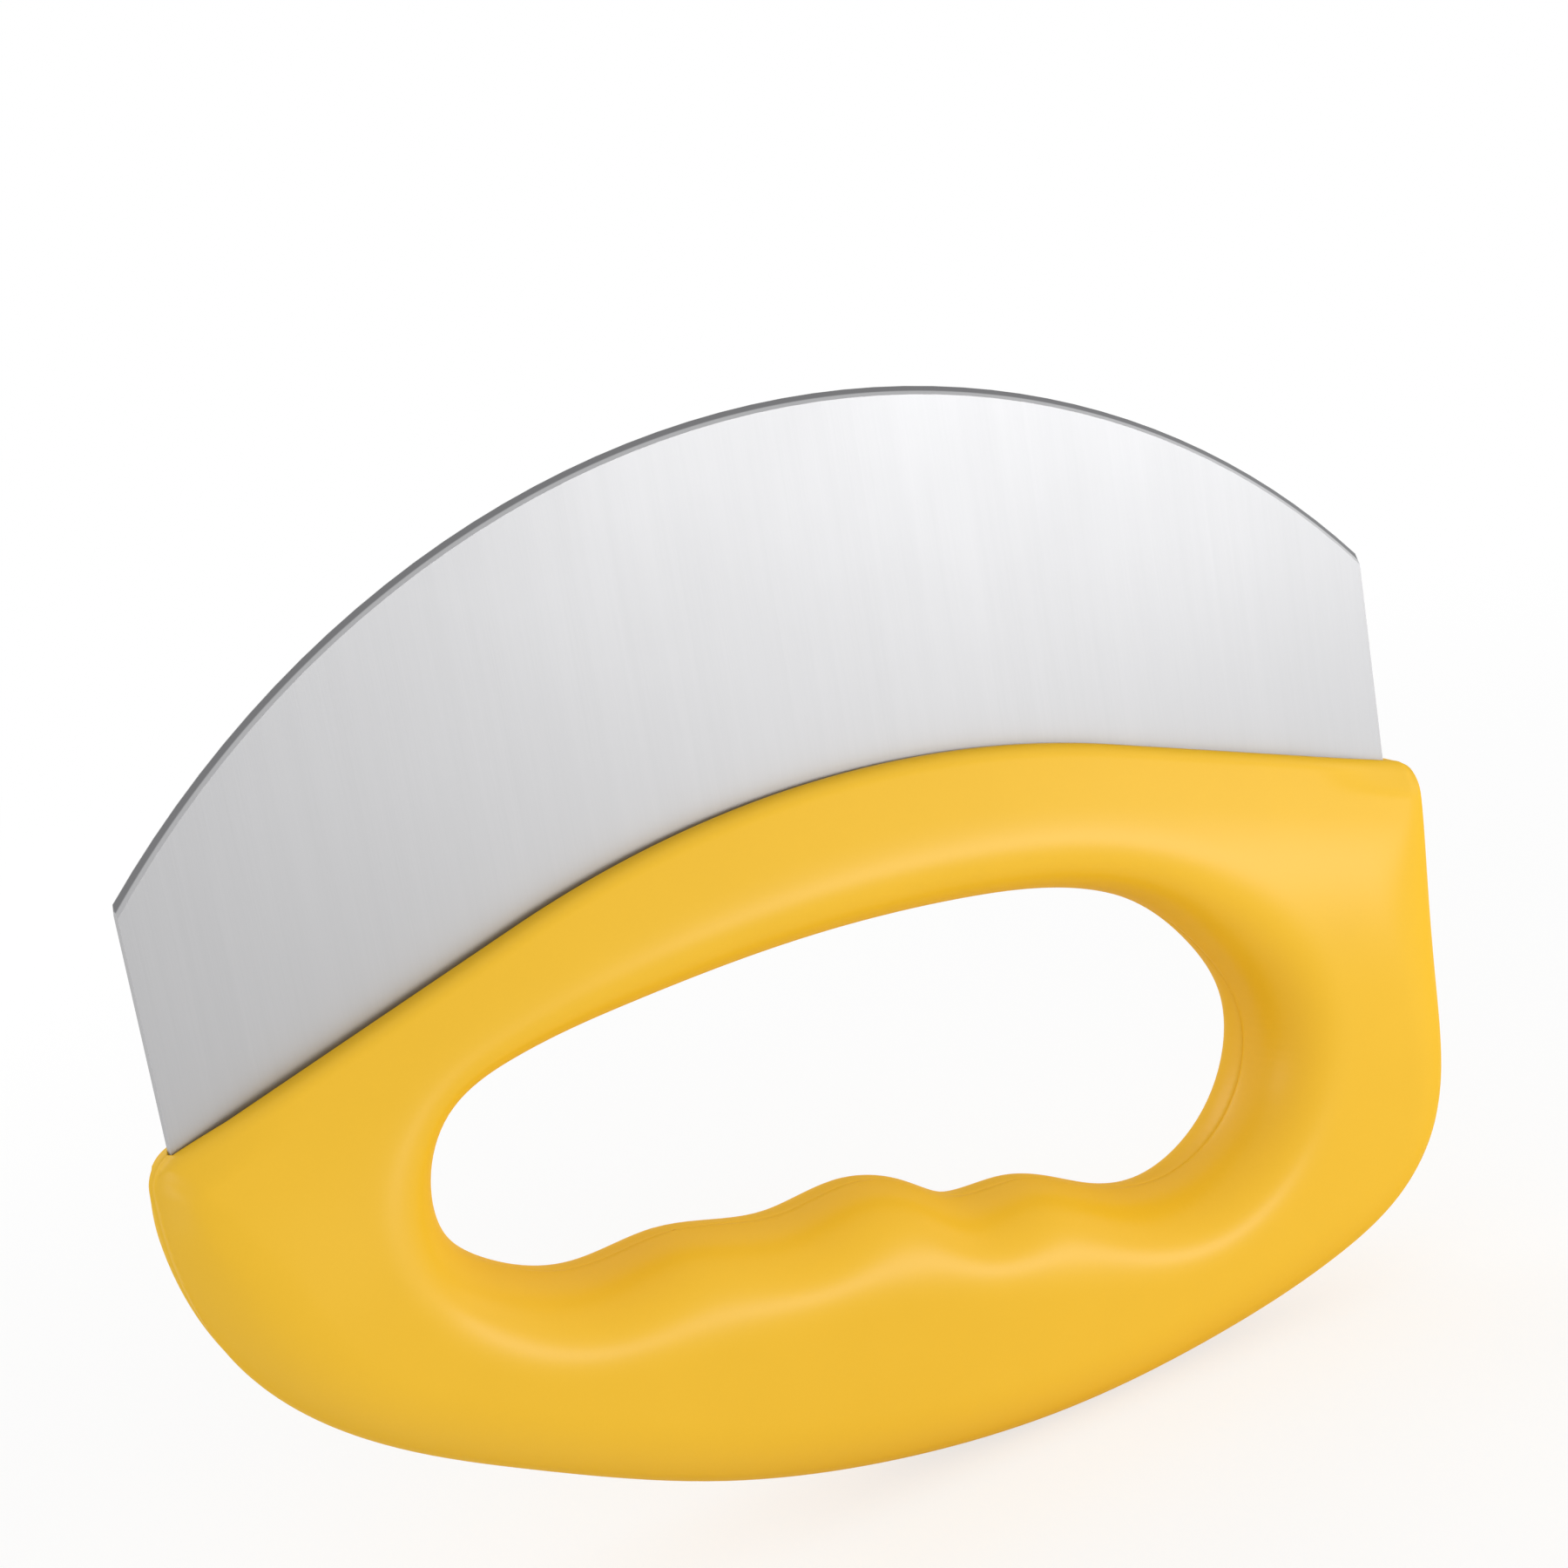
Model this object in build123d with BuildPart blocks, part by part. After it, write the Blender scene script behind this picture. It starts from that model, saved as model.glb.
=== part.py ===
from build123d import *
from math import cos, radians, sin, sqrt, tan
import os

# A rocking pizza knife, standing blade up. X runs along the blade, Z up towards the cutting edge,
# and Y through the thickness, with the front face towards -Y. The origin is under the middle of the
# handle, at the height of its lowest point. All lengths are in millimetres.

# Blade
blade_chord = 155.0         # between the two ends of the cutting edge
blade_thickness = 1.5
edge_radius = 105.7         # the edge is a true circle, so that the knife rocks
bevel_width = 0.9
edge_land = 0.16            # thickness left at the very edge
chord_height = 90.0         # from the handle's lowest point up to the ends of the edge

# Joint line, where the blade goes into the handle: an arch between two straight runs
joint_drop = 7.4            # middle of the arch below the ends of the edge
joint_radius = 126.0
joint_slope = 17.5          # degrees, of the straight runs

# Handle
end_cover = 2.5             # of the handle past each end of the blade
grip_thickness = 20.0
grip_rounding = 9.0
side_straight = 5.0         # length of each straight side below its corner
corner_radius = 3.0
lip_thickness = 7.0         # at the joint line
lip_rounding = 1.6
flank_slope = 20.0          # degrees, by which the flank spreads below the lip
flank_straight = 7.0        # length of the straight slope, before it curves into the grip's face
flank_run_out = 2.0         # degrees left where the flank meets the grip's face

# Finger opening, as what is left of the handle round it
end_width = 27.5            # between each end of the handle and the opening
band_width = 16.7           # between the joint line's highest point and the opening's
bar_width = 21.5            # between the handle's lowest point and the opening's
ridge_share = 0.042         # radius that the ridges take, of the opening's length squared over its height

# Shells
shell_wall = 3.0
boss_radius = 4.5

# Tang, the part of the blade inside the handle
tang_depth = 9.0            # below the joint line, along the band over the opening
tang_lobe_width = 14.0
tang_lobe_depth = 18.0      # below the joint line's end
tang_inset = 5.0            # from the end of the blade
tang_clearance = 0.2        # round the tang's outline in its pocket
face_clearance = 0.02       # between each face of the tang and its pocket

# Dowel pins
pin_diameter = 3.0
pin_clearance = 0.03        # on the radius
pin_end_gap = 0.1
pin_chamfer = 0.3
band_pin_length = 6.4
lobe_pin_length = 10.0
grip_pin_length = 13.0

overrun = 5.0               # how far every cutting shape runs past what it cuts

# The handle's outline between its two straight sides, from the right side round the bottom to the
# left side. Shares of half the handle's length, from the middle, and of the height from the lowest
# point up to the straight sides.
rim_shares = [
    (0.991, 0.608), (0.980, 0.446), (0.945, 0.292), (0.868, 0.172), (0.715, 0.080), (0.480, 0.020),
    (0.210, 0.000), (-0.075, 0.043), (-0.340, 0.143), (-0.610, 0.317), (-0.815, 0.489), (-0.918, 0.631),
    (-0.972, 0.769),
]

# The finger opening, clockwise from its left end. The first number is a share of its length from its
# left end, the second a share of its height from its lowest point. The last points are the four
# finger grooves and the three ridges between them.
opening_shares = [
    (0.000, 0.690), (0.032, 0.860), (0.105, 0.936), (0.236, 0.978), (0.435, 1.000),
    (0.640, 0.970), (0.781, 0.903), (0.872, 0.802), (0.958, 0.597), (1.000, 0.350),
    (0.958, 0.108), (0.862, 0.002), (0.770, 0.052), (0.674, 0.152), (0.590, 0.172),
    (0.530, 0.262), (0.462, 0.310), (0.380, 0.296), (0.245, 0.358), (0.150, 0.350),
    (0.058, 0.434), (0.008, 0.560),
]

# Where the dowel pins stand. The grip's are shares, as the outline's are.
band_pin_share = 0.425      # of half the chord, for the two outer pins of the band
band_pin_drop = 5.2         # below the joint line
lobe_pin_rise = 6.0         # above the bottom of the tang's lobes
grip_pin_shares = [(-0.47, 0.400), (0.20, 0.239), (0.80, 0.362)]

half_chord = blade_chord / 2
half_length = half_chord + end_cover
half_blade = blade_thickness / 2
half_grip = grip_thickness / 2
half_lip = lip_thickness / 2
edge_centre = chord_height - sqrt(edge_radius**2 - half_chord**2)
joint_top = chord_height - joint_drop
arch_half = joint_radius * sin(radians(joint_slope))
arch_end = joint_top - joint_radius * (1 - cos(radians(joint_slope)))
opening_left = end_width - half_length
opening_length = -2 * opening_left
opening_height = joint_top - band_width - bar_width
opening_rounding = min(grip_rounding, ridge_share * opening_length**2 / opening_height)


def joint_height(x):
    """Height of the joint line at a distance along the blade."""
    if abs(x) < arch_half:
        return joint_top - joint_radius + sqrt(joint_radius**2 - x**2)
    return arch_end - (abs(x) - arch_half) * tan(radians(joint_slope))


side_top = joint_height(half_length)
side_bottom = side_top - side_straight
rim_points = [
    (half_length, side_bottom),
    *[(half_length * along, side_bottom * up) for along, up in rim_shares],
    (-half_length, side_bottom),
]
opening_points = [
    (opening_left + opening_length * along, bar_width + opening_height * up)
    for along, up in opening_shares
]


def joint_line(reach, drop=0.0):
    """The joint line out to a distance on each side, moved down by a drop."""
    end = joint_height(reach) - drop
    Line((-reach, end), (-arch_half, arch_end - drop))
    ThreePointArc((-arch_half, arch_end - drop), (0, joint_top - drop), (arch_half, arch_end - drop))
    Line((arch_half, arch_end - drop), (reach, end))


def moved_right(points, distance, closed=False):
    """Points of a curve, each moved to the right of the way that the curve runs there."""
    first, last = (points[-1], points[0]) if closed else (points[0], points[-1])
    moved = []
    for before, here, after in zip([first, *points], points, [*points[1:], last]):
        way = Vector(after[0] - before[0], after[1] - before[1]).normalized() * distance
        moved.append((here[0] + way.Y, here[1] - way.X))
    return moved


def handle_outline():
    """The closed outline of the handle, with sharp corners at the joint line."""
    joint_line(half_length)
    Line((half_length, side_top), (half_length, side_bottom))
    Spline(rim_points, tangents=[(0, -1), (0, 1)], tangent_scalars=[1, 1])
    Line((-half_length, side_bottom), (-half_length, side_top))


def pin_places():
    """Name, place and length of every dowel pin."""
    lobe_x = half_chord - tang_inset - tang_lobe_width / 2
    lobe_z = joint_height(half_chord) - tang_lobe_depth + lobe_pin_rise
    band_x = half_chord * band_pin_share
    band_z = joint_height(band_x) - band_pin_drop
    places = [
        ("band_pin_left", -band_x, band_z, band_pin_length),
        ("band_pin_middle", 0, joint_top - band_pin_drop, band_pin_length),
        ("band_pin_right", band_x, band_z, band_pin_length),
        ("lobe_pin_left", -lobe_x, lobe_z, lobe_pin_length),
        ("lobe_pin_right", lobe_x, lobe_z, lobe_pin_length),
    ]
    for side, (along, up) in zip(("left", "middle", "right"), grip_pin_shares):
        places.append((f"grip_pin_{side}", half_length * along, side_bottom * up, grip_pin_length))
    return places


tang_pins = [place for place in pin_places() if not place[0].startswith("grip")]
grip_pins = [place for place in pin_places() if place[0].startswith("grip")]


def tang_lines(gap=0.0):
    """The blade's plate from the ends of the edge down to the bottom of the tang, grown by a gap."""
    reach = half_chord + gap
    lobe_out = half_chord - tang_inset + gap
    lobe_in = half_chord - tang_inset - tang_lobe_width - gap
    lobe_bottom = joint_height(half_chord) - tang_lobe_depth - gap
    shoulder = joint_height(half_chord) - tang_inset - gap
    band_end = joint_height(lobe_in) - tang_depth - gap
    joint_line(lobe_in, tang_depth + gap)
    for side in (-1, 1):
        Polyline(
            (side * lobe_in, band_end),
            (side * lobe_in, lobe_bottom),
            (side * lobe_out, lobe_bottom),
            (side * lobe_out, shoulder),
            (side * reach, shoulder),
            (side * reach, chord_height),
        )
    Line((-reach, chord_height), (reach, chord_height))


os.makedirs("parts", exist_ok=True)

# Blade: a disc with a bevelled rim gives the edge, and the plate's outline cuts it to shape
with BuildPart() as blade:
    with BuildSketch(Plane.YZ) as rim:
        with BuildLine():
            Polyline(
                (0, edge_centre),
                (half_blade, edge_centre),
                (half_blade, edge_centre + edge_radius - bevel_width),
                (edge_land / 2, edge_centre + edge_radius),
                (-edge_land / 2, edge_centre + edge_radius),
                (-half_blade, edge_centre + edge_radius - bevel_width),
                (-half_blade, edge_centre),
                close=True,
            )
        make_face()
    revolve(axis=Axis((0, 0, edge_centre), (0, 1, 0)))
    with BuildSketch(Plane.XZ) as plate:
        with BuildLine():
            tang_lines()
        make_face()
        with Locations((0, chord_height + edge_radius / 2)):
            Rectangle(blade_chord, edge_radius)
        for name, x, z, length in tang_pins:
            with Locations((x, z)):
                Circle(pin_diameter / 2 + pin_clearance, mode=Mode.SUBTRACT)
    extrude(amount=blade_thickness, both=True, mode=Mode.INTERSECT)
blade.part.label = "blade"
export_step(blade.part, "parts/blade.step")

# Flank: the sloping sides below the lip, as a shape that is cut from the handle along the joint line
slope = radians(flank_slope)
flank_turn = flank_slope - flank_run_out
flank_start = Vector(-half_length - overrun, 0, joint_height(half_length + overrun))
flank_plane = Plane(
    origin=flank_start,
    x_dir=(0, -1, 0),
    z_dir=(cos(radians(joint_slope)), 0, sin(radians(joint_slope))),
)
lip_flat = half_lip - lip_rounding
straight_end = lip_flat + lip_rounding * cos(slope) + flank_straight * sin(slope)
bend_radius = (half_grip - straight_end) / (cos(radians(flank_run_out)) - cos(slope))
with BuildPart() as flank:
    with BuildLine(Plane.XZ) as flank_path:
        joint_line(half_length + overrun)
    with BuildSketch(flank_plane) as flank_section:
        with BuildLine():
            lip = JernArc((lip_flat, 0), (1, 0), lip_rounding, 90 - flank_slope)
            rise = Line(lip @ 1, lip @ 1 + Vector(sin(slope), cos(slope)) * flank_straight)
            bend = JernArc(rise @ 1, (sin(slope), cos(slope)), bend_radius, flank_turn)
            out = Line(bend @ 1, bend @ 1 + (bend % 1) * overrun)
            far = half_grip + 2 * overrun
            Polyline(out @ 1, (far, (out @ 1).Y), (far, -overrun), (lip_flat, -overrun), lip @ 0)
        make_face()
    sweep(path=flank_path.line)

# Handle body: the full thickness on the front side of the middle plane, rounded all round
with BuildPart() as body:
    with BuildSketch(Plane.XZ) as body_outline:
        with BuildLine():
            handle_outline()
        make_face()
        with BuildLine():
            Spline(opening_points, periodic=True)
        make_face(mode=Mode.SUBTRACT)
    extrude(amount=half_grip)
    fillet(body.faces().sort_by(Axis.Y)[0].inner_wires()[0].edges(), radius=opening_rounding)
    outer_edges = body.faces().sort_by(Axis.Y)[0].outer_wire().edges()
    fillet(outer_edges.filter_by(lambda edge: edge.center().Z < side_top), radius=grip_rounding)
    add(flank.part, mode=Mode.SUBTRACT)
    with BuildSketch(Plane.XZ) as rounded_outline:
        with BuildLine():
            handle_outline()
        make_face()
        corners = rounded_outline.vertices().filter_by(
            lambda vertex: abs(vertex.X) > half_chord and vertex.Y > side_top - corner_radius
        )
        fillet(corners, radius=corner_radius)
    extrude(amount=half_grip, mode=Mode.INTERSECT)

# Hollow: the inside of the grip and of the handle's two ends, one wall in from every surface
pocket_top = joint_height(half_chord) - tang_lobe_depth - shell_wall
hollow_rim = moved_right(rim_points, shell_wall)
hollow_chamfer = (opening_rounding - shell_wall) * (2 - sqrt(2))  # leaves one wall under the rounding
with BuildPart() as hollow:
    with BuildSketch(Plane.XZ) as hollow_outline:
        with BuildLine():
            Spline(hollow_rim)
            Line(hollow_rim[0], hollow_rim[-1])
        make_face()
        with BuildLine():
            Spline(moved_right(opening_points, -shell_wall, closed=True), periodic=True)
        make_face(mode=Mode.SUBTRACT)
        with Locations((0, pocket_top)):
            Rectangle(
                2 * half_length, chord_height, align=(Align.CENTER, Align.MIN), mode=Mode.SUBTRACT
            )
    extrude(amount=half_grip - shell_wall)
    chamfer(hollow.faces().sort_by(Axis.Y)[0].edges(), length=hollow_chamfer)
    with BuildSketch(Plane.XZ) as bosses:
        for name, x, z, length in grip_pins:
            with Locations((x, z)):
                Circle(boss_radius)
    extrude(amount=half_grip, mode=Mode.SUBTRACT)

# Front shell: the body with its hollow, half of the tang's pocket and the near half of every pin hole
with BuildPart() as front_shell:
    add(body.part)
    add(hollow.part, mode=Mode.SUBTRACT)
    with BuildSketch(Plane.XZ) as tang_pocket:
        with BuildLine():
            tang_lines(tang_clearance)
        make_face()
    extrude(amount=half_blade + face_clearance, mode=Mode.SUBTRACT)
    for name, x, z, length in pin_places():
        with BuildSketch(Plane.XZ) as pin_hole:
            with Locations((x, z)):
                Circle(pin_diameter / 2 + pin_clearance)
        extrude(amount=length / 2 + pin_end_gap, mode=Mode.SUBTRACT)
front_shell.part.label = "front_shell"
export_step(front_shell.part, "parts/front_shell.step")

# Rear shell: the same moulding for the other side
with BuildPart() as rear_shell:
    mirror(front_shell.part, about=Plane.XZ)
rear_shell.part.label = "rear_shell"
export_step(rear_shell.part, "parts/rear_shell.step")

# Dowel pins through the tang's holes and in the grip's bosses
for name, x, z, length in pin_places():
    with BuildPart() as pin:
        with BuildSketch(Plane.XZ.offset(-length / 2)):
            with Locations((x, z)):
                Circle(pin_diameter / 2)
        extrude(amount=length)
        chamfer(pin.edges().filter_by(GeomType.CIRCLE), length=pin_chamfer)
    pin.part.label = name
    export_step(pin.part, f"parts/{name}.step")
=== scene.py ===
# %% [markdown]
# # A rocking pizza knife
#
# The knife is a steel blade with a curved edge, set in a closed yellow plastic handle. It stands
# upright here, edge up. This file takes the CAD model as a fixed frame and gives each piece the
# surface that the real one has. Lengths are metres in the frame of the CAD model: X along the
# blade, Z up towards the edge, and the front face towards -Y.

# %% Load the CAD model
import bmesh
import bpy
import math
import numpy as np
from mathutils import Matrix, Vector


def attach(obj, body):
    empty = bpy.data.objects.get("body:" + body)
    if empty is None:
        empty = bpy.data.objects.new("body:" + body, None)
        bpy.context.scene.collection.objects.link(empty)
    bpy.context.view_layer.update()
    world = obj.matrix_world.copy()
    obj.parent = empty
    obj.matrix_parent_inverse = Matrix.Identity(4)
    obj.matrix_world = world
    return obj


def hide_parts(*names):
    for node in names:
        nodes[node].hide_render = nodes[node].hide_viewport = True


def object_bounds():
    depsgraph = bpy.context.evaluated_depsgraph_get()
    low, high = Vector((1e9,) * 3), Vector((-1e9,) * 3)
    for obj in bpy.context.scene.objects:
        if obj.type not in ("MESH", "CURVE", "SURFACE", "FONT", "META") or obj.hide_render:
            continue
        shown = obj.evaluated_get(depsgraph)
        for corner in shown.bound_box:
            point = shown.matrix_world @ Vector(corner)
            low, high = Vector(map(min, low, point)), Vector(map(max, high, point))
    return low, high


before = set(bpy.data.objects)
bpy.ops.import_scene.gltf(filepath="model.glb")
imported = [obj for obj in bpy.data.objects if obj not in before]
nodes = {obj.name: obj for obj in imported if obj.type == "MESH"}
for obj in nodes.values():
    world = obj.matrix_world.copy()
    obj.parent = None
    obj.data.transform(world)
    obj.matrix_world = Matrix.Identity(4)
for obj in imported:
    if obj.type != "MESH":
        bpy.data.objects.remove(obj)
cad_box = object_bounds()
scene = bpy.context.scene
scene.view_settings.view_transform = "Standard"
print("CAD nodes:", ", ".join(sorted(nodes)))
print("CAD box in mm:", [round(1000 * (b - a), 1) for a, b in zip(*cad_box)])

# %% [markdown]
# ## Camera
#
# The picture was taken close to the knife, from the left and a little above, with the camera
# tilted. Where the camera stood follows from the blade: its edge is a circle and its two ends are
# the same height, so their unequal lengths in the picture give the side turn and the distance.

# %% Place the camera
picture_side = 1800
yaw, elevation, roll = math.radians(-26.0), math.radians(13.0), math.radians(-9.586)
target = Vector((-0.00362, 0.0, 0.08943))
camera_distance = 0.29999
focal_pixels = 3164.8
centre_pixels = (888.4, 830.1)
sensor_mm = 36.0

level = math.cos(elevation)
away = Vector((math.sin(yaw) * level, -math.cos(yaw) * level, math.sin(elevation)))
level_right = (-away).cross(Vector((0, 0, 1))).normalized()
level_up = level_right.cross(-away)
right = level_right * math.cos(roll) + level_up * math.sin(roll)
up = level_up * math.cos(roll) - level_right * math.sin(roll)

camera = bpy.data.objects.new("camera", bpy.data.cameras.new("camera"))
scene.collection.objects.link(camera)
turn = Matrix((right, up, away)).transposed().to_4x4()
camera.matrix_world = Matrix.Translation(target + away * camera_distance) @ turn
camera.data.sensor_width = sensor_mm
camera.data.lens = focal_pixels / picture_side * sensor_mm
camera.data.shift_x = 0.5 - centre_pixels[0] / picture_side
camera.data.shift_y = centre_pixels[1] / picture_side - 0.5
camera.data.clip_start, camera.data.clip_end = 0.01, 20.0
scene.camera = camera
print("camera at", [round(1000 * c) for c in camera.matrix_world.translation], "mm")
print("lens", round(camera.data.lens, 1), "mm")

# %% [markdown]
# ## A short way to write materials
#
# Blender's materials are graphs of nodes. A socket wrapped in a small class can be added to,
# multiplied and so on, and each operation adds its Math node, so a material reads as a formula.

# %% Write shader maths as expressions
class Value:
    """A number that changes over a surface. Arithmetic on it adds Math nodes."""

    def __init__(self, graph, socket):
        self.graph, self.socket = graph, socket

    def maths(self, operation, *others, swapped=False):
        values = [*others, self] if swapped else [self, *others]
        return self.graph.node("Math", {"operation": operation}, *values)

    def __add__(self, other):
        return self.maths("ADD", other)

    def __sub__(self, other):
        return self.maths("SUBTRACT", other)

    def __rsub__(self, other):
        return self.maths("SUBTRACT", other, swapped=True)

    def __mul__(self, other):
        return self.maths("MULTIPLY", other)

    def __truediv__(self, other):
        return self.maths("DIVIDE", other)

    def __rtruediv__(self, other):
        return self.maths("DIVIDE", other, swapped=True)

    __radd__, __rmul__ = __add__, __mul__


class Graph:
    """A tree of shader nodes."""

    def __init__(self, tree, output):
        self.tree = tree
        tree.nodes.clear()
        self.output = tree.nodes.new("ShaderNode" + output)

    def fill(self, socket, value):
        if isinstance(value, Value):
            self.tree.links.new(value.socket, socket)
        elif value is not None:
            socket.default_value = value

    def node(self, kind, settings=None, *values, out=0, **named):
        """Add a node: its type, its settings, then what goes into its sockets.

        The value that comes back is the node's first output, or the one that "out" tells.
        """
        made = self.tree.nodes.new("ShaderNode" + kind)
        for name, setting in (settings or {}).items():
            setattr(made, name, setting)
        for socket, value in zip(made.inputs, values):
            self.fill(socket, value)
        for name, value in named.items():
            self.fill(made.inputs[name.replace("_", " ")], value)
        return Value(self, made.outputs[out])

    def show(self, shader):
        self.tree.links.new(shader.socket, self.output.inputs["Surface"])

    def blend(self, share, first, second):
        """A colour between two colours.

        They go into the Mix node's seventh and eighth input, and the colour is its third output.
        """
        between = [None] * 5
        return self.node("Mix", {"data_type": "RGBA"}, share, *between, first, second, out=2)

    def step(self, value, low, high, before=0.0, after=1.0):
        """A soft step from one number to another."""
        return self.node("MapRange", {"interpolation_type": "SMOOTHSTEP"}, value, low, high, before, after)

    def place(self, *stretch):
        """The point on the object, in millimetres, stretched along each axis."""
        factors = [1000 * share for share in stretch] or [1000] * 3
        on_object = self.node("TexCoord", out="Object")
        return self.node("VectorMath", {"operation": "MULTIPLY"}, on_object, factors)

    def noise(self, place, scale, detail=2.0, roughness=0.5):
        """Random variation around 0.5, with features of about 1 / scale millimetres."""
        return self.node("TexNoise", None, Vector=place, Scale=scale, Detail=detail, Roughness=roughness)

    def seen(self):
        """1 for rays from the camera, off a gloss or through glass."""
        kinds = ("Is Camera Ray", "Is Glossy Ray", "Is Transmission Ray")
        camera_ray, glossy_ray, glass_ray = (self.node("LightPath", out=kind) for kind in kinds)
        return camera_ray.maths("MAXIMUM", glossy_ray).maths("MAXIMUM", glass_ray)


def new_finish(name):
    """A new material with an empty graph."""
    made = bpy.data.materials.new(name)
    made.use_nodes = True
    graph = Graph(made.node_tree, "OutputMaterial")
    graph.material = made
    return graph


print("material helpers ready")

# %% [markdown]
# ## The handle's outline and finger opening
#
# The handle is two moulded halves. Its outline is an arch at the top, where the blade goes in, two
# short straight sides and one free curve round the bottom. The opening is one closed curve with
# four grooves for the fingers. Both are drawn through a few points by a smooth spline, the same
# points that the CAD model has, with the opening half a millimetre smaller, because its edge is
# rounded further round here.

# %% Curves through points
def smooth_curve(points, closed=False, ends=None, steps=60):
    """Points along a curve through the given points.

    Between two points the curve is a cubic. Its directions at the points are found all at once, so
    that the curvature doesn't jump at any of them. An open curve is given its two end directions.
    """
    points = np.array(points, float)
    if closed:
        points = np.vstack([points, points[:1]])
    gaps = np.linalg.norm(np.diff(points, axis=0), axis=1)
    rises = np.diff(points, axis=0) / gaps[:, None]
    count = len(points)
    terms, known = np.zeros((count, count)), np.zeros((count, 2))
    for i in range(1, count - 1):
        terms[i, i - 1 : i + 2] = gaps[i], 2 * (gaps[i - 1] + gaps[i]), gaps[i - 1]
        known[i] = 3 * (gaps[i] * rises[i - 1] + gaps[i - 1] * rises[i])
    if closed:
        terms[0, 0], terms[0, -1] = 1, -1
        terms[-1, [0, 1, -2, -1]] = 2 * gaps[-1], gaps[-1], gaps[0], 2 * gaps[0]
        known[-1] = 3 * (gaps[-1] * rises[0] + gaps[0] * rises[-1])
    else:
        terms[0, 0] = terms[-1, -1] = 1
        known[0], known[-1] = ends
    ways = np.linalg.solve(terms, known)
    along = np.linspace(0, 1, steps, endpoint=False)[:, None]
    made = []
    for i in range(count - 1):
        start, end = points[i], points[i + 1]
        out, into = ways[i] * gaps[i], ways[i + 1] * gaps[i]
        made.append(
            start * (1 + 2 * along) * (1 - along) ** 2 + out * along * (1 - along) ** 2
            + end * along**2 * (3 - 2 * along) + into * along**2 * (along - 1)
        )
    return np.vstack(made if closed else [*made, points[-1:]])


# %% The outline and the opening, in millimetres
half_length, half_grip, half_chord = 80.0, 10.0, 77.5
chord_height = 90.0
joint_top, joint_radius, joint_slope = 82.3, 126.0, math.radians(17.5)
side_straight = 5.0
left_rounding, right_rounding = 4.2, 1.0
opening_left, opening_length = -52.5, 104.5
opening_bottom, opening_height = 21.75, 43.8
arch_half = joint_radius * math.sin(joint_slope)
arch_end = joint_top - joint_radius * (1 - math.cos(joint_slope))


def joint_height(x):
    """Height of the joint line, an arch between two straight runs."""
    x = np.abs(x)
    arch = joint_top - joint_radius + np.sqrt(joint_radius**2 - np.minimum(x, arch_half) ** 2)
    return np.where(x < arch_half, arch, arch_end - (x - arch_half) * math.tan(joint_slope))


side_top = float(joint_height(half_length))
side_bottom = side_top - side_straight
left_top, left_bottom = (-half_length, side_top), (-half_length, side_bottom)
right_top, right_bottom = (half_length, side_top), (half_length, side_bottom)
rim_shares = [
    (0.991, 0.608), (0.980, 0.446), (0.945, 0.292), (0.868, 0.172), (0.715, 0.080), (0.480, 0.020),
    (0.210, 0.000), (-0.075, 0.043), (-0.340, 0.143), (-0.610, 0.317), (-0.815, 0.489), (-0.918, 0.631),
    (-0.972, 0.769),
]
opening_shares = [
    (0.000, 0.690), (0.032, 0.860), (0.105, 0.936), (0.236, 0.978), (0.435, 1.000),
    (0.640, 0.970), (0.781, 0.903), (0.872, 0.802), (0.958, 0.597), (1.000, 0.350),
    (0.958, 0.108), (0.862, 0.002), (0.770, 0.052), (0.674, 0.152), (0.590, 0.172),
    (0.530, 0.262), (0.462, 0.310), (0.380, 0.296), (0.245, 0.358), (0.150, 0.350),
    (0.058, 0.434), (0.008, 0.560),
]
opening = smooth_curve(
    [
        (opening_left + opening_length * along, opening_bottom + opening_height * above)
        for along, above in opening_shares
    ],
    closed=True,
)
rim = smooth_curve(
    [
        right_bottom,
        *[(half_length * along, side_bottom * above) for along, above in rim_shares],
        left_bottom,
    ],
    ends=[(0, -1), (0, 1)],
)
rim[:, 1] = np.maximum(rim[:, 1], 1000 * cad_box[0].z)


def rounded_corner(before, corner, after, radius, steps=24):
    """The arc that rounds a corner."""
    before, corner, after = (np.array(p, float) for p in (before, corner, after))
    back = (before - corner) / np.linalg.norm(before - corner)
    on = (after - corner) / np.linalg.norm(after - corner)
    half = math.acos(np.clip(back @ on, -1, 1)) / 2
    middle = corner + (back + on) / np.linalg.norm(back + on) * radius / math.sin(half)
    start = corner + back * radius / math.tan(half) - middle
    end = corner + on * radius / math.tan(half) - middle
    sweep = math.pi - 2 * half
    turns = np.linspace(0, sweep, steps)[:, None]
    return middle + (start * np.sin(sweep - turns) + end * np.sin(turns)) / math.sin(sweep)


across = np.linspace(-half_length, half_length, 3001)[1:-1]
joint = np.column_stack([across, joint_height(across)])
inset = 40
left_corner = rounded_corner(left_bottom, left_top, joint[inset], left_rounding)
right_corner = rounded_corner(joint[-1 - inset], right_top, right_bottom, right_rounding)
joint = joint[(joint[:, 0] > left_corner[-1, 0]) & (joint[:, 0] < right_corner[0, 0])]
outline = np.vstack([left_corner, joint, right_corner, rim])
print("outline", len(outline), "points, opening", len(opening), "points")

# %% [markdown]
# ## The handle's skin
#
# The real handle has no flat place and no hard edge but the crease near each tip: the flank falls
# away from the blade, and the grip swells and rounds into the opening and the outline. Rounded CAD
# edges meet in creases there, so the visible skin is a net of its own. Its lines run from the
# opening to the outline, and each point's height over the middle plane comes from three soft
# profiles, one for the opening, one for the outline and one for the flank, blended into one. Near
# the tips the outline's wall is higher and its rounding flatter, and the lips beside the blade thin
# out, as they do on the real one.

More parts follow.
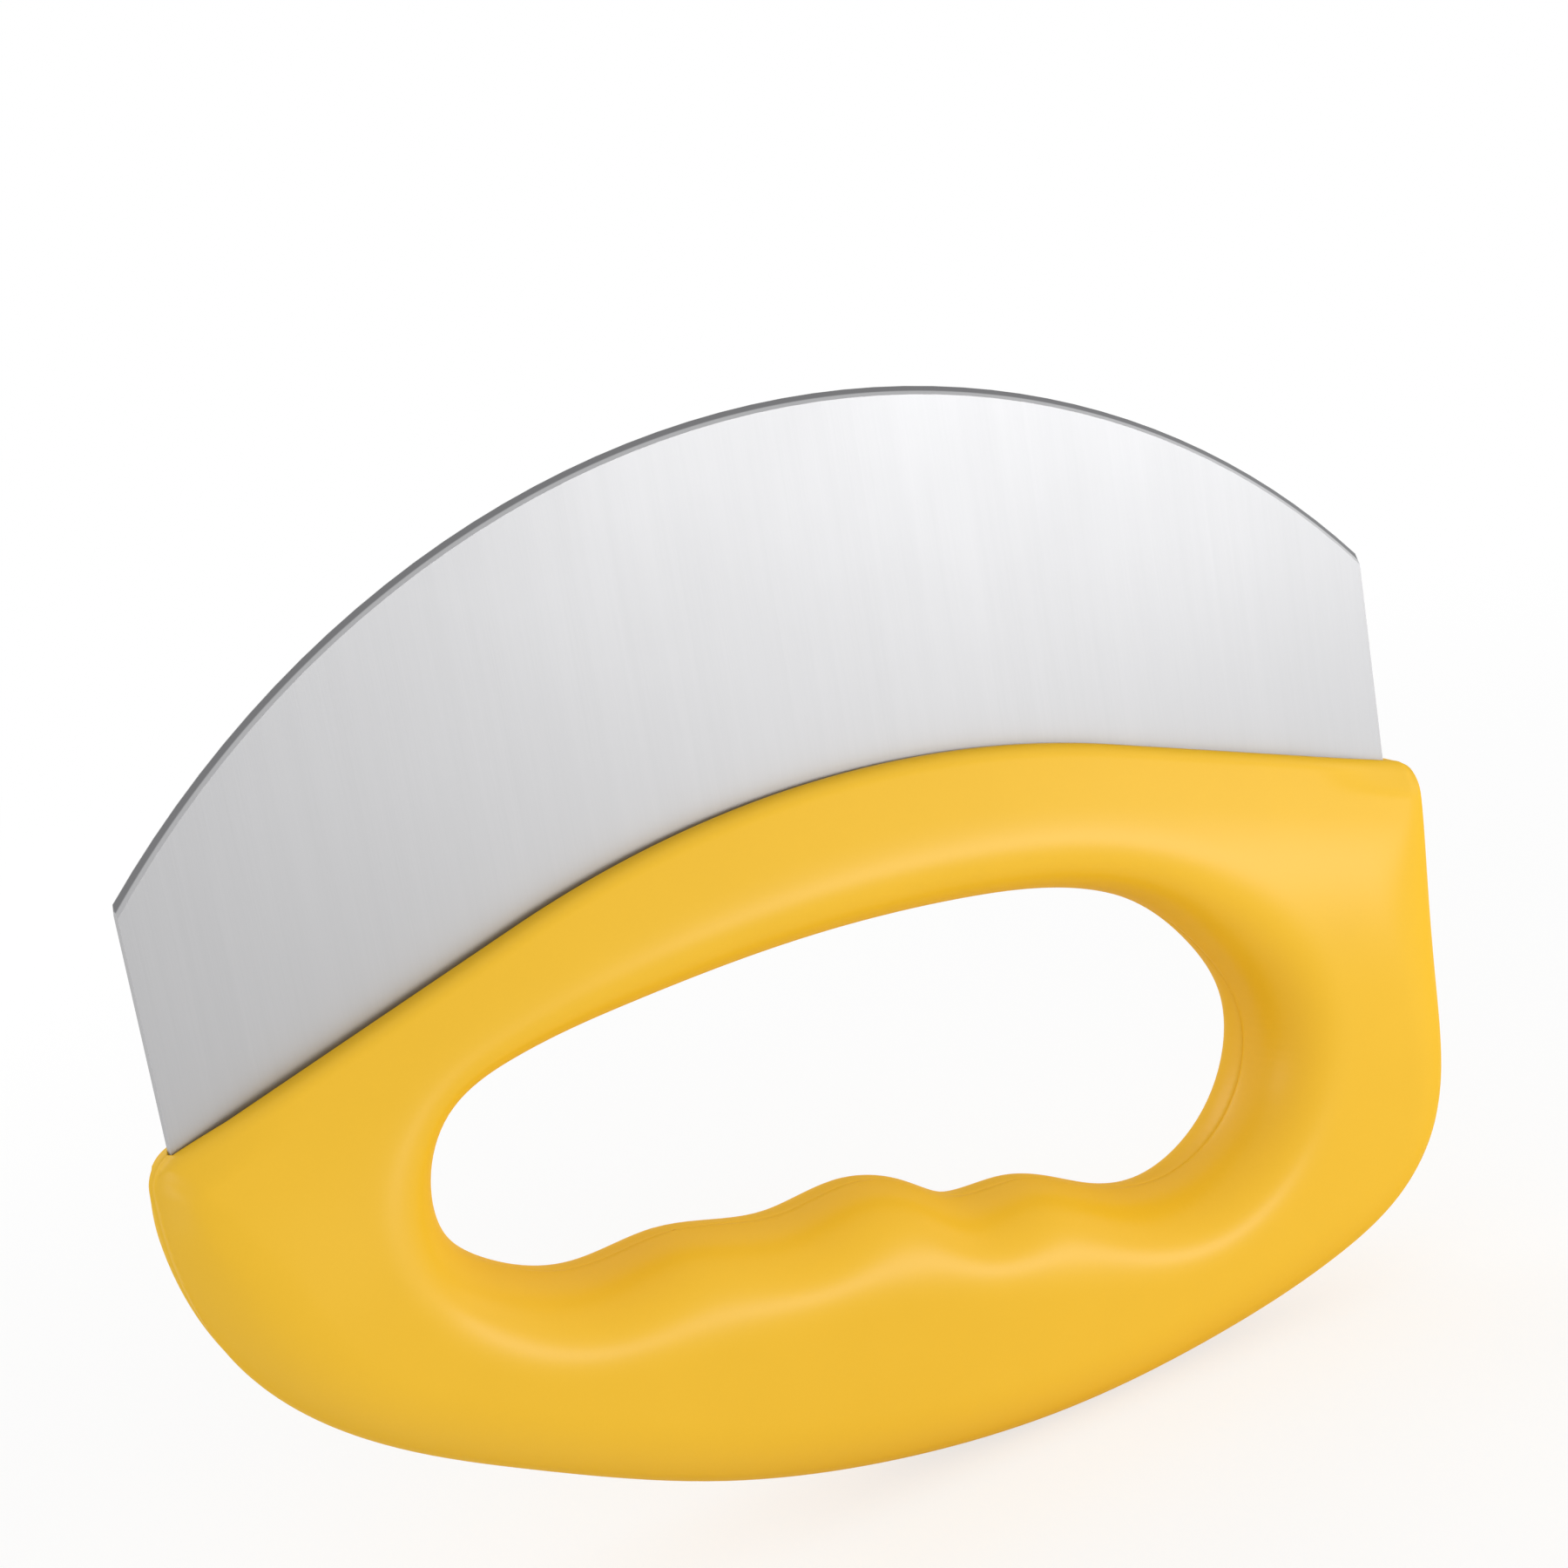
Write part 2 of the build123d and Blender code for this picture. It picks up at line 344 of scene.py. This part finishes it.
# %% Lines from the opening to the outline
spine = np.array([(-32.0, 51.0), (30.0, 44.0)])
turn_radius = 30.0
whole = 2 * np.linalg.norm(spine[1] - spine[0]) + 2 * math.pi * turn_radius


def round_the_spine(points):
    """How far round the spine a point lies.

    The way goes above the spine, round its right end, back below it and round its left end.
    """
    start, end = spine
    way = end - start
    length = np.linalg.norm(way)
    way /= length
    side = np.array([-way[1], way[0]])
    along = (points - start) @ way
    past = np.where(along < 0, along, np.maximum(along - length, 0))
    over = (points - start) @ side
    turn = np.arctan2(past, np.abs(over)) * turn_radius
    bend = turn_radius * math.pi / 2
    along = np.clip(along, 0, length)
    return np.where(over >= 0, along + turn, length * 2 + 2 * bend - along - turn)


def spread(curve, places):
    """Points of a closed curve at places round the spine."""
    keys = round_the_spine(curve) % whole
    order = np.argsort(keys)
    keys, curve = keys[order], curve[order]
    return np.column_stack([np.interp(places, keys, curve[:, i], period=whole) for i in (0, 1)])


columns, rows = 1180, 76
outline_weight = 1.5
tries = np.linspace(0, whole, 9000)
paths = np.hstack([spread(opening, tries), outline_weight * spread(outline, tries)])
walked = np.concatenate([[0], np.cumsum(np.linalg.norm(np.diff(paths, axis=0), axis=1))])
places = np.interp(np.linspace(0, walked[-1], columns, endpoint=False), walked, tries)
inner, outer = spread(opening, places), spread(outline, places)
shares = (1 - np.cos(np.linspace(0, math.pi, rows))) / 2
net = inner[None] + (outer - inner)[None] * shares[:, None, None]
widest = [np.linalg.norm(np.diff(line, axis=0), axis=1).max().round(2) for line in (inner, outer)]
print("net", net.shape, "widest gaps at the opening and at the outline", widest, "mm")

# %% Distances from the curves
def distance(points, curve, closed=False):
    """Distance of each point from a curve given as points."""
    ends = np.vstack([curve, curve[:1]]) if closed else curve
    starts, ways = ends[:-1], np.diff(ends, axis=0)
    lengths = np.maximum((ways**2).sum(1), 1e-12)
    found = np.empty(len(points))
    batch = 2000
    for i in range(0, len(points), batch):
        some = points[i : i + batch, None]
        share = np.clip(((some - starts) * ways).sum(2) / lengths, 0, 1)
        nearest = starts + ways * share[..., None]
        found[i : i + batch] = np.sqrt(((nearest - some) ** 2).sum(2).min(1))
    return found


def eased(curve, width, count=720, reach=150):
    """A closed curve with its small waves smoothed out: each point is a mean over its neighbours."""
    steps = np.linalg.norm(np.diff(np.vstack([curve, curve[:1]]), axis=0), axis=1)
    length = steps.sum()
    at = np.concatenate([[0], np.cumsum(steps)[:-1]])
    even = np.linspace(0, length, count, endpoint=False)
    line = np.column_stack([np.interp(even, at, curve[:, i], period=length) for i in (0, 1)])
    away = np.arange(-reach, reach + 1) * length / count
    weights = np.exp(-((away / width) ** 2) / 2)
    weights /= weights.sum()
    wrapped = np.vstack([line[-reach:], line, line[:reach]])
    return np.column_stack([np.convolve(wrapped[:, i], weights, "valid") for i in (0, 1)])


flat_net = net.reshape(-1, 2)
every, half_corner = 6, len(left_corner) // 2
from_opening = distance(flat_net, opening[::every], closed=True)
wave_width = 7.0
from_waveless = distance(flat_net, eased(opening, wave_width), closed=True)
rim_line = np.vstack([right_corner[half_corner:], rim[::every], left_corner[:half_corner]])
from_rim = distance(flat_net, rim_line)
joint_line = np.vstack([
    left_corner[half_corner:], joint[:: 2 * every], joint[-1:], right_corner[:half_corner],
])
from_joint = distance(flat_net, joint_line)
print("deepest in the grip", from_opening.max().round(1), "mm")

# %% Three profiles, blended
def rounding(away, reach, power=2.0):
    """A superellipse's quarter: share of the full height at a distance from the edge."""
    return (1 - (1 - np.clip(away / reach, 1e-7, 1)) ** power) ** (1 / power)


def meet(first, second, sharpness):
    """The lower of two shares, with a soft crease where they are alike."""
    return (first**-sharpness + second**-sharpness - 1) ** (-1 / sharpness)


def ease(value, low, high):
    """A soft step from 0 to 1."""
    share = np.clip((value - low) / (high - low), 0, 1)
    return share * share * (3 - 2 * share)


lip_flat, lip_rounding, flank_slope, flank_straight = 2.6, 2.0, math.radians(20), 5.5
lip_depth = lip_rounding * (1 - math.sin(flank_slope))
lip_end = lip_flat + lip_rounding * math.cos(flank_slope)
bend_depth = lip_depth + flank_straight * math.cos(flank_slope)
bend_start = lip_end + flank_straight * math.sin(flank_slope)
bend_radius = (half_grip - bend_start) / (1 - math.cos(flank_slope))


def flank(depth):
    """Half the handle's thickness at a depth below the joint line.

    It is a rounded lip, then a straight slope, then a soft bend into the grip's full thickness.
    """
    from_centre = lip_rounding - np.minimum(depth, lip_depth)
    lip = lip_flat + np.sqrt(np.maximum(lip_rounding**2 - from_centre**2, 0))
    slope = lip_end + (depth - lip_depth) * math.tan(flank_slope)
    sine = np.clip(math.sin(flank_slope) - (depth - bend_depth) / bend_radius, 0, 1)
    bend = bend_start + bend_radius * (np.sqrt(1 - sine**2) - math.cos(flank_slope))
    return np.where(depth < lip_depth, lip, np.where(depth < bend_depth, slope, bend))


net_x, net_z = flat_net.T
opening_reach, opening_power = 10.5, 2.1
groove_depth = 9.0
calm = ease(from_opening, 0, groove_depth)
by_opening = rounding(from_opening * (1 - calm) + from_waveless * calm, opening_reach, opening_power)

tip_height, tip_length = 62.0, 40.0
tip_core, left_tip_end, right_tip_end = 3.0, 30.0, 40.0
left_tip = 1 - ease(np.hypot(net_x + half_length, net_z - tip_height), tip_core, left_tip_end)
right_tip = 1 - ease(np.hypot(net_x - half_length, net_z - tip_height), tip_core, right_tip_end)
rim_reach = 9.0 + 2.0 * left_tip + 4.0 * right_tip
rim_power = 2.0 - 0.7 * left_tip - 0.5 * right_tip
tips = 1 - ease(half_length - np.abs(net_x) + np.abs(net_z - side_top), 0, tip_length)
base_wall, right_wall = 0.1, 0.3  # shares of the grip's half thickness
left_wall = 0.02 + 0.18 * ease(side_top - net_z, 1, 9)
wall = base_wall + tips * np.where(net_x > 0, right_wall, left_wall)
by_rim = wall + (1 - wall) * rounding(from_rim, rim_reach, rim_power)

taper, taper_start, taper_end, taper_depth = 1.4, 64.0, 78.0, 4.0
thinner = taper * ease(np.abs(net_x), taper_start, taper_end) * (1 - ease(from_joint, 0, taper_depth))
by_flank = np.minimum((flank(from_joint) - thinner) / half_grip, 1)

crease, blend = 12.0, 4.5
height = half_grip * meet(by_opening, meet(by_rim, by_flank, crease), blend)
height = height.reshape(rows, columns)
print("thickest", round(2 * height.max(), 2), "mm")

# %% [markdown]
# The two halves meet in a fine parting line, and the blade stands in a narrow slot between the lips.
# Both are modelled, because the line of shade along the blade is what makes it look set in. The slot
# narrows where the lips thin out. The last rows run back towards the opening inside the handle, along
# the blade, so that each half is a closed body, as a print or a simulation needs.

# %% The skin's extra rows at the parting line and at the slot
def left_of(line):
    """The way across a closed line, to the left of its direction, at each of its points."""
    tangent = np.roll(line, -1, axis=0) - np.roll(line, 1, axis=0)
    return np.column_stack([-tangent[:, 1], tangent[:, 0]]) / np.linalg.norm(tangent, axis=1)[:, None]


inward, into_grip = -left_of(outer), left_of(inner)
tolerance, slot_open, slot_shut = 0.05, half_chord + 0.1, half_chord + 0.4
on_joint = (outer[:, 1] > joint_height(outer[:, 0]) - tolerance).astype(float)
at_blade = on_joint * (1 - ease(np.abs(outer[:, 0]), slot_open, slot_shut))
parting, slot_depth, widest_slot, blade_face = 0.07, 3.0, 1.5, 0.76
lip_edge, lip_drop, lip_wall = 0.02, 0.15, 0.3
slot_step, tang_share = 0.04, 0.6
top = np.maximum(height[-1], parting)
slot = np.clip(top - lip_wall, blade_face, widest_slot)
past_tang = outer + tang_share * (inner - outer)
mouth = outer + inward * (parting + slot_step * at_blade)[:, None]
bottom = outer + inward * (parting + slot_depth * at_blade)[:, None]
skin = [
    (inner + into_grip * parting, np.zeros(columns)),
    (inner, np.full(columns, parting)),
    *[(net[i], height[i]) for i in range(1, rows - 1)],
    (outer, top),
    (outer + inward * lip_edge, np.minimum(top, parting + (slot + lip_drop - parting) * at_blade)),
    (mouth, slot * at_blade),
    (bottom, slot * at_blade),
    (bottom, blade_face * at_blade),
    (past_tang, blade_face * at_blade),
    (past_tang, np.zeros(columns)),
]
print("skin rows", len(skin))


# %% Build both halves
def handle_half(name, side):
    """One half of the handle's skin, on the side of -Y or +Y."""
    lines = [np.column_stack([flat[:, 0], side * high, flat[:, 1]]) for flat, high in skin]
    points = np.vstack(lines) / 1000
    index = np.arange(len(skin) * columns).reshape(len(skin), columns)
    after = np.roll(index, -1, 0)
    faces = np.stack([index, np.roll(index, -1, 1), np.roll(after, -1, 1), after], 2).reshape(-1, 4)
    if side > 0:
        faces = faces[:, ::-1]
    mesh = bpy.data.meshes.new(name)
    mesh.from_pydata(points.tolist(), [], faces.tolist())
    made = bmesh.new()
    made.from_mesh(mesh)
    bmesh.ops.remove_doubles(made, verts=made.verts, dist=1e-7)
    bmesh.ops.dissolve_degenerate(made, edges=made.edges, dist=1e-7)
    print(name, "open edges:", sum(edge.is_boundary for edge in made.edges))
    print(name, "volume:", round(made.calc_volume() * 1e6, 1), "cm3")
    made.to_mesh(mesh)
    made.free()
    mesh.polygons.foreach_set("use_smooth", [True] * len(mesh.polygons))
    mesh.set_sharp_from_angle(angle=math.radians(50))
    half = bpy.data.objects.new(name, mesh)
    scene.collection.objects.link(half)
    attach(half, "root")
    return half


front_half = handle_half("handle_front", -1)
rear_half = handle_half("handle_rear", 1)
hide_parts("front_shell")
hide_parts("rear_shell")
print("faces in a half", len(front_half.data.polygons))

# %% [markdown]
# ## Handle plastic
#
# The handle is moulded in a yellow that runs all the way through, with a satin surface: the mould was
# given a fine texture, so reflections are soft and wide. The tint varies a little, as flow in the mould
# leaves it. The gloss is a clear coat that fades where the surface turns away from the eye, because
# the texture scatters light most there. Fingers polish the grip below the opening a little.

# %% Handle plastic
plastic = new_finish("handle_plastic")
place = plastic.place()
clouds = plastic.noise(place, 0.05)
grain = plastic.noise(place, 3.0, 3.0, 0.6)
colour = plastic.blend(clouds * 0.7 + grain * 0.3, (0.87, 0.50, 0.014, 1), (0.95, 0.555, 0.024, 1))
facing = plastic.node("LayerWeight", None, 0.5, out="Facing")
gloss = plastic.step(facing, 0.15, 0.75, 1.0, 0.0)
height_over_floor = plastic.node("SeparateXYZ", None, place, out="Z")
handled = plastic.step(height_over_floor, 10, 25) * plastic.step(height_over_floor, 30, 45, 1.0, 0.0)
plastic.show(plastic.node(
    "BsdfPrincipled", Base_Color=colour, Roughness=0.5 + 0.1 * clouds, Specular_IOR_Level=0.05,
    Coat_Weight=gloss, Coat_Roughness=0.35, Coat_IOR=1.39,
    Normal=plastic.node("Bump", Strength=0.25, Distance=0.00002, Height=grain * (1 - 0.4 * handled)),
))
for part in (nodes["front_shell"], nodes["rear_shell"], front_half, rear_half):
    part.data.materials.clear()
    part.data.materials.append(plastic.material)
print("handle plastic:", len(plastic.tree.nodes), "nodes")

# %% [markdown]
# ## Blade steel
#
# The blade is cut from sheet that was brushed on a belt, which left fine scratches from the handle to
# the edge. They are noise stretched 120 times along Z, and drive the tint, the roughness and the bump.
# Along the edge lies the ground bevel, rougher from the grind. Its colour is painted darker there,
# painted shade for the edge facet that turns away from the light. It is found by distance: the edge
# is an arc of a circle, so how far a point lies inside the arc follows from its distance to the centre.

# %% Blade steel
steel = new_finish("blade_steel")
crown = 1000 * cad_box[1].z - chord_height
edge_radius = (half_chord**2 + crown**2) / (2 * crown)
middle = (0.0, 0.0, chord_height + crown - edge_radius)
flat = steel.place(1, 0, 1)
from_middle = steel.node("VectorMath", {"operation": "DISTANCE"}, flat, middle, out="Value")
depth = edge_radius - from_middle
bevel_and_painted_shade = steel.step(depth, 0.45, 0.6, 1.0, 0.0)
fine = steel.noise(steel.place(6.0, 6.0, 0.05), 1.0, 3.0, 0.6)
broad = steel.noise(steel.place(0.7, 0.7, 0.02), 1.0, 3.0, 0.6)
smudge = steel.noise(steel.place(), 0.035, 3.0, 0.55)
tone = steel.blend(fine * 0.5 + broad * 0.5, (0.41, 0.41, 0.418, 1), (0.47, 0.47, 0.478, 1))
# The bevel's darker tone is painted shade for the edge facet turned from the light; its extra roughness is
# the grind's own.
tone = steel.blend(bevel_and_painted_shade * 0.75, tone, (0.13, 0.13, 0.135, 1))
steel.show(steel.node(
    "BsdfPrincipled", Base_Color=tone, Metallic=1.0,
    Roughness=0.44 + fine * 0.05 + smudge * 0.05 + bevel_and_painted_shade * 0.1,
    Normal=steel.node("Bump", Strength=0.2, Distance=0.00002, Height=fine),
))
nodes["blade"].data.materials.clear()
nodes["blade"].data.materials.append(steel.material)
print("edge circle: radius", round(edge_radius, 1), "mm, centre", round(middle[2], 1), "mm up")

# %% [markdown]
# ## Pin steel
#
# Eight dowel pins hold the halves and the blade together inside the handle. Pins are ground between
# wheels, which leaves faint rings round them, so this noise is drawn out round the pin and is dense
# along it.

# %% Pin steel
pin_finish = new_finish("pin_steel")
turned = pin_finish.noise(pin_finish.place(0.3, 9.0, 0.3), 1.0, 2.0)
pin_finish.show(pin_finish.node(
    "BsdfPrincipled", Metallic=1.0, Roughness=0.25 + 0.15 * turned,
    Base_Color=pin_finish.blend(turned, (0.52, 0.52, 0.53, 1), (0.64, 0.64, 0.65, 1)),
    Normal=pin_finish.node("Bump", Strength=0.3, Distance=0.00002, Height=turned),
))
pins = [node for name, node in nodes.items() if "pin" in name]
for part in pins:
    part.data.materials.clear()
    part.data.materials.append(pin_finish.material)
print("pins:", len(pins))

# %% [markdown]
# ## Light
#
# The picture was lit by one long, low softbox from the front right, which makes the broad
# highlights on the grip and the bright field on the blade. Weak boxes at both sides open up the
# walls of the finger opening, and one behind lights the back.

# %% Lamps
opening_middle = Vector((0, 0, 0.06))


def softbox(name, place, width, height, watts):
    """A rectangular lamp that faces the middle of the finger opening."""
    lamp = bpy.data.lights.new(name, "AREA")
    lamp.shape, lamp.size, lamp.size_y, lamp.energy = "RECTANGLE", width, height, watts
    made = bpy.data.objects.new(name, lamp)
    scene.collection.objects.link(made)
    made.location = place
    made.rotation_euler = (opening_middle - Vector(place)).to_track_quat("-Z", "Y").to_euler()


softbox("key", (0.3, -0.46, 0.1), 0.42, 0.1, 1.04)
softbox("right_side", (0.7, -0.05, 0.25), 0.3, 0.3, 0.3)
softbox("left_side", (-0.7, -0.12, 0.2), 0.3, 0.3, 0.5)
softbox("back", (-0.2, 0.6, 0.3), 0.4, 0.4, 0.8)
print("lamps:", [lamp.name for lamp in bpy.data.lights])

# %% [markdown]
# ## Backdrop and floor
#
# The picture has a plain white background. The world shows white to the camera and to reflections,
# and lights the knife at a lower level. The floor is matt white paper. It takes the knife's shadow
# near the knife and runs out into plain white further away.

# %% World
scene.world = bpy.data.worlds.new("studio")
scene.world.use_nodes = True
sky = Graph(scene.world.node_tree, "OutputWorld")
white = (1.0, 1.0, 1.0, 1.0)
light, backdrop = sky.node("Background", None, white, 0.67), sky.node("Background", None, white, 1.0)
sky.show(sky.node("MixShader", None, sky.seen(), light, backdrop))

# %% Floor
half_side = 6.0
fade_start, fade_end = 150.0, 500.0
floor_mesh = bpy.data.meshes.new("floor")
corners = [(x * half_side, y * half_side, 0) for x, y in ((-1, -1), (1, -1), (1, 1), (-1, 1))]
floor_mesh.from_pydata(corners, [], [(0, 1, 2, 3)])
floor = bpy.data.objects.new("floor", floor_mesh)
scene.collection.objects.link(floor)
floor.location = (0, 0, cad_box[0].z)
paper = new_finish("floor_paper")
from_knife = paper.node("VectorMath", {"operation": "LENGTH"}, paper.place(), out="Value")
far = paper.step(from_knife, fade_start, fade_end)
glow = paper.node("Emission", None, white, 0.69)
near = paper.node("AddShader", None, glow, paper.node("BsdfDiffuse", None, (0.35, 0.35, 0.35, 1)))
shown = paper.node("MixShader", None, far, near, paper.node("Emission", None, white, 1.0))
bounced = paper.node("BsdfDiffuse", None, (0.85, 0.85, 0.85, 1))
paper.show(paper.node("MixShader", None, paper.seen(), bounced, shown))
floor.data.materials.append(paper.material)
print("floor at", round(1000 * cad_box[0].z, 2), "mm")
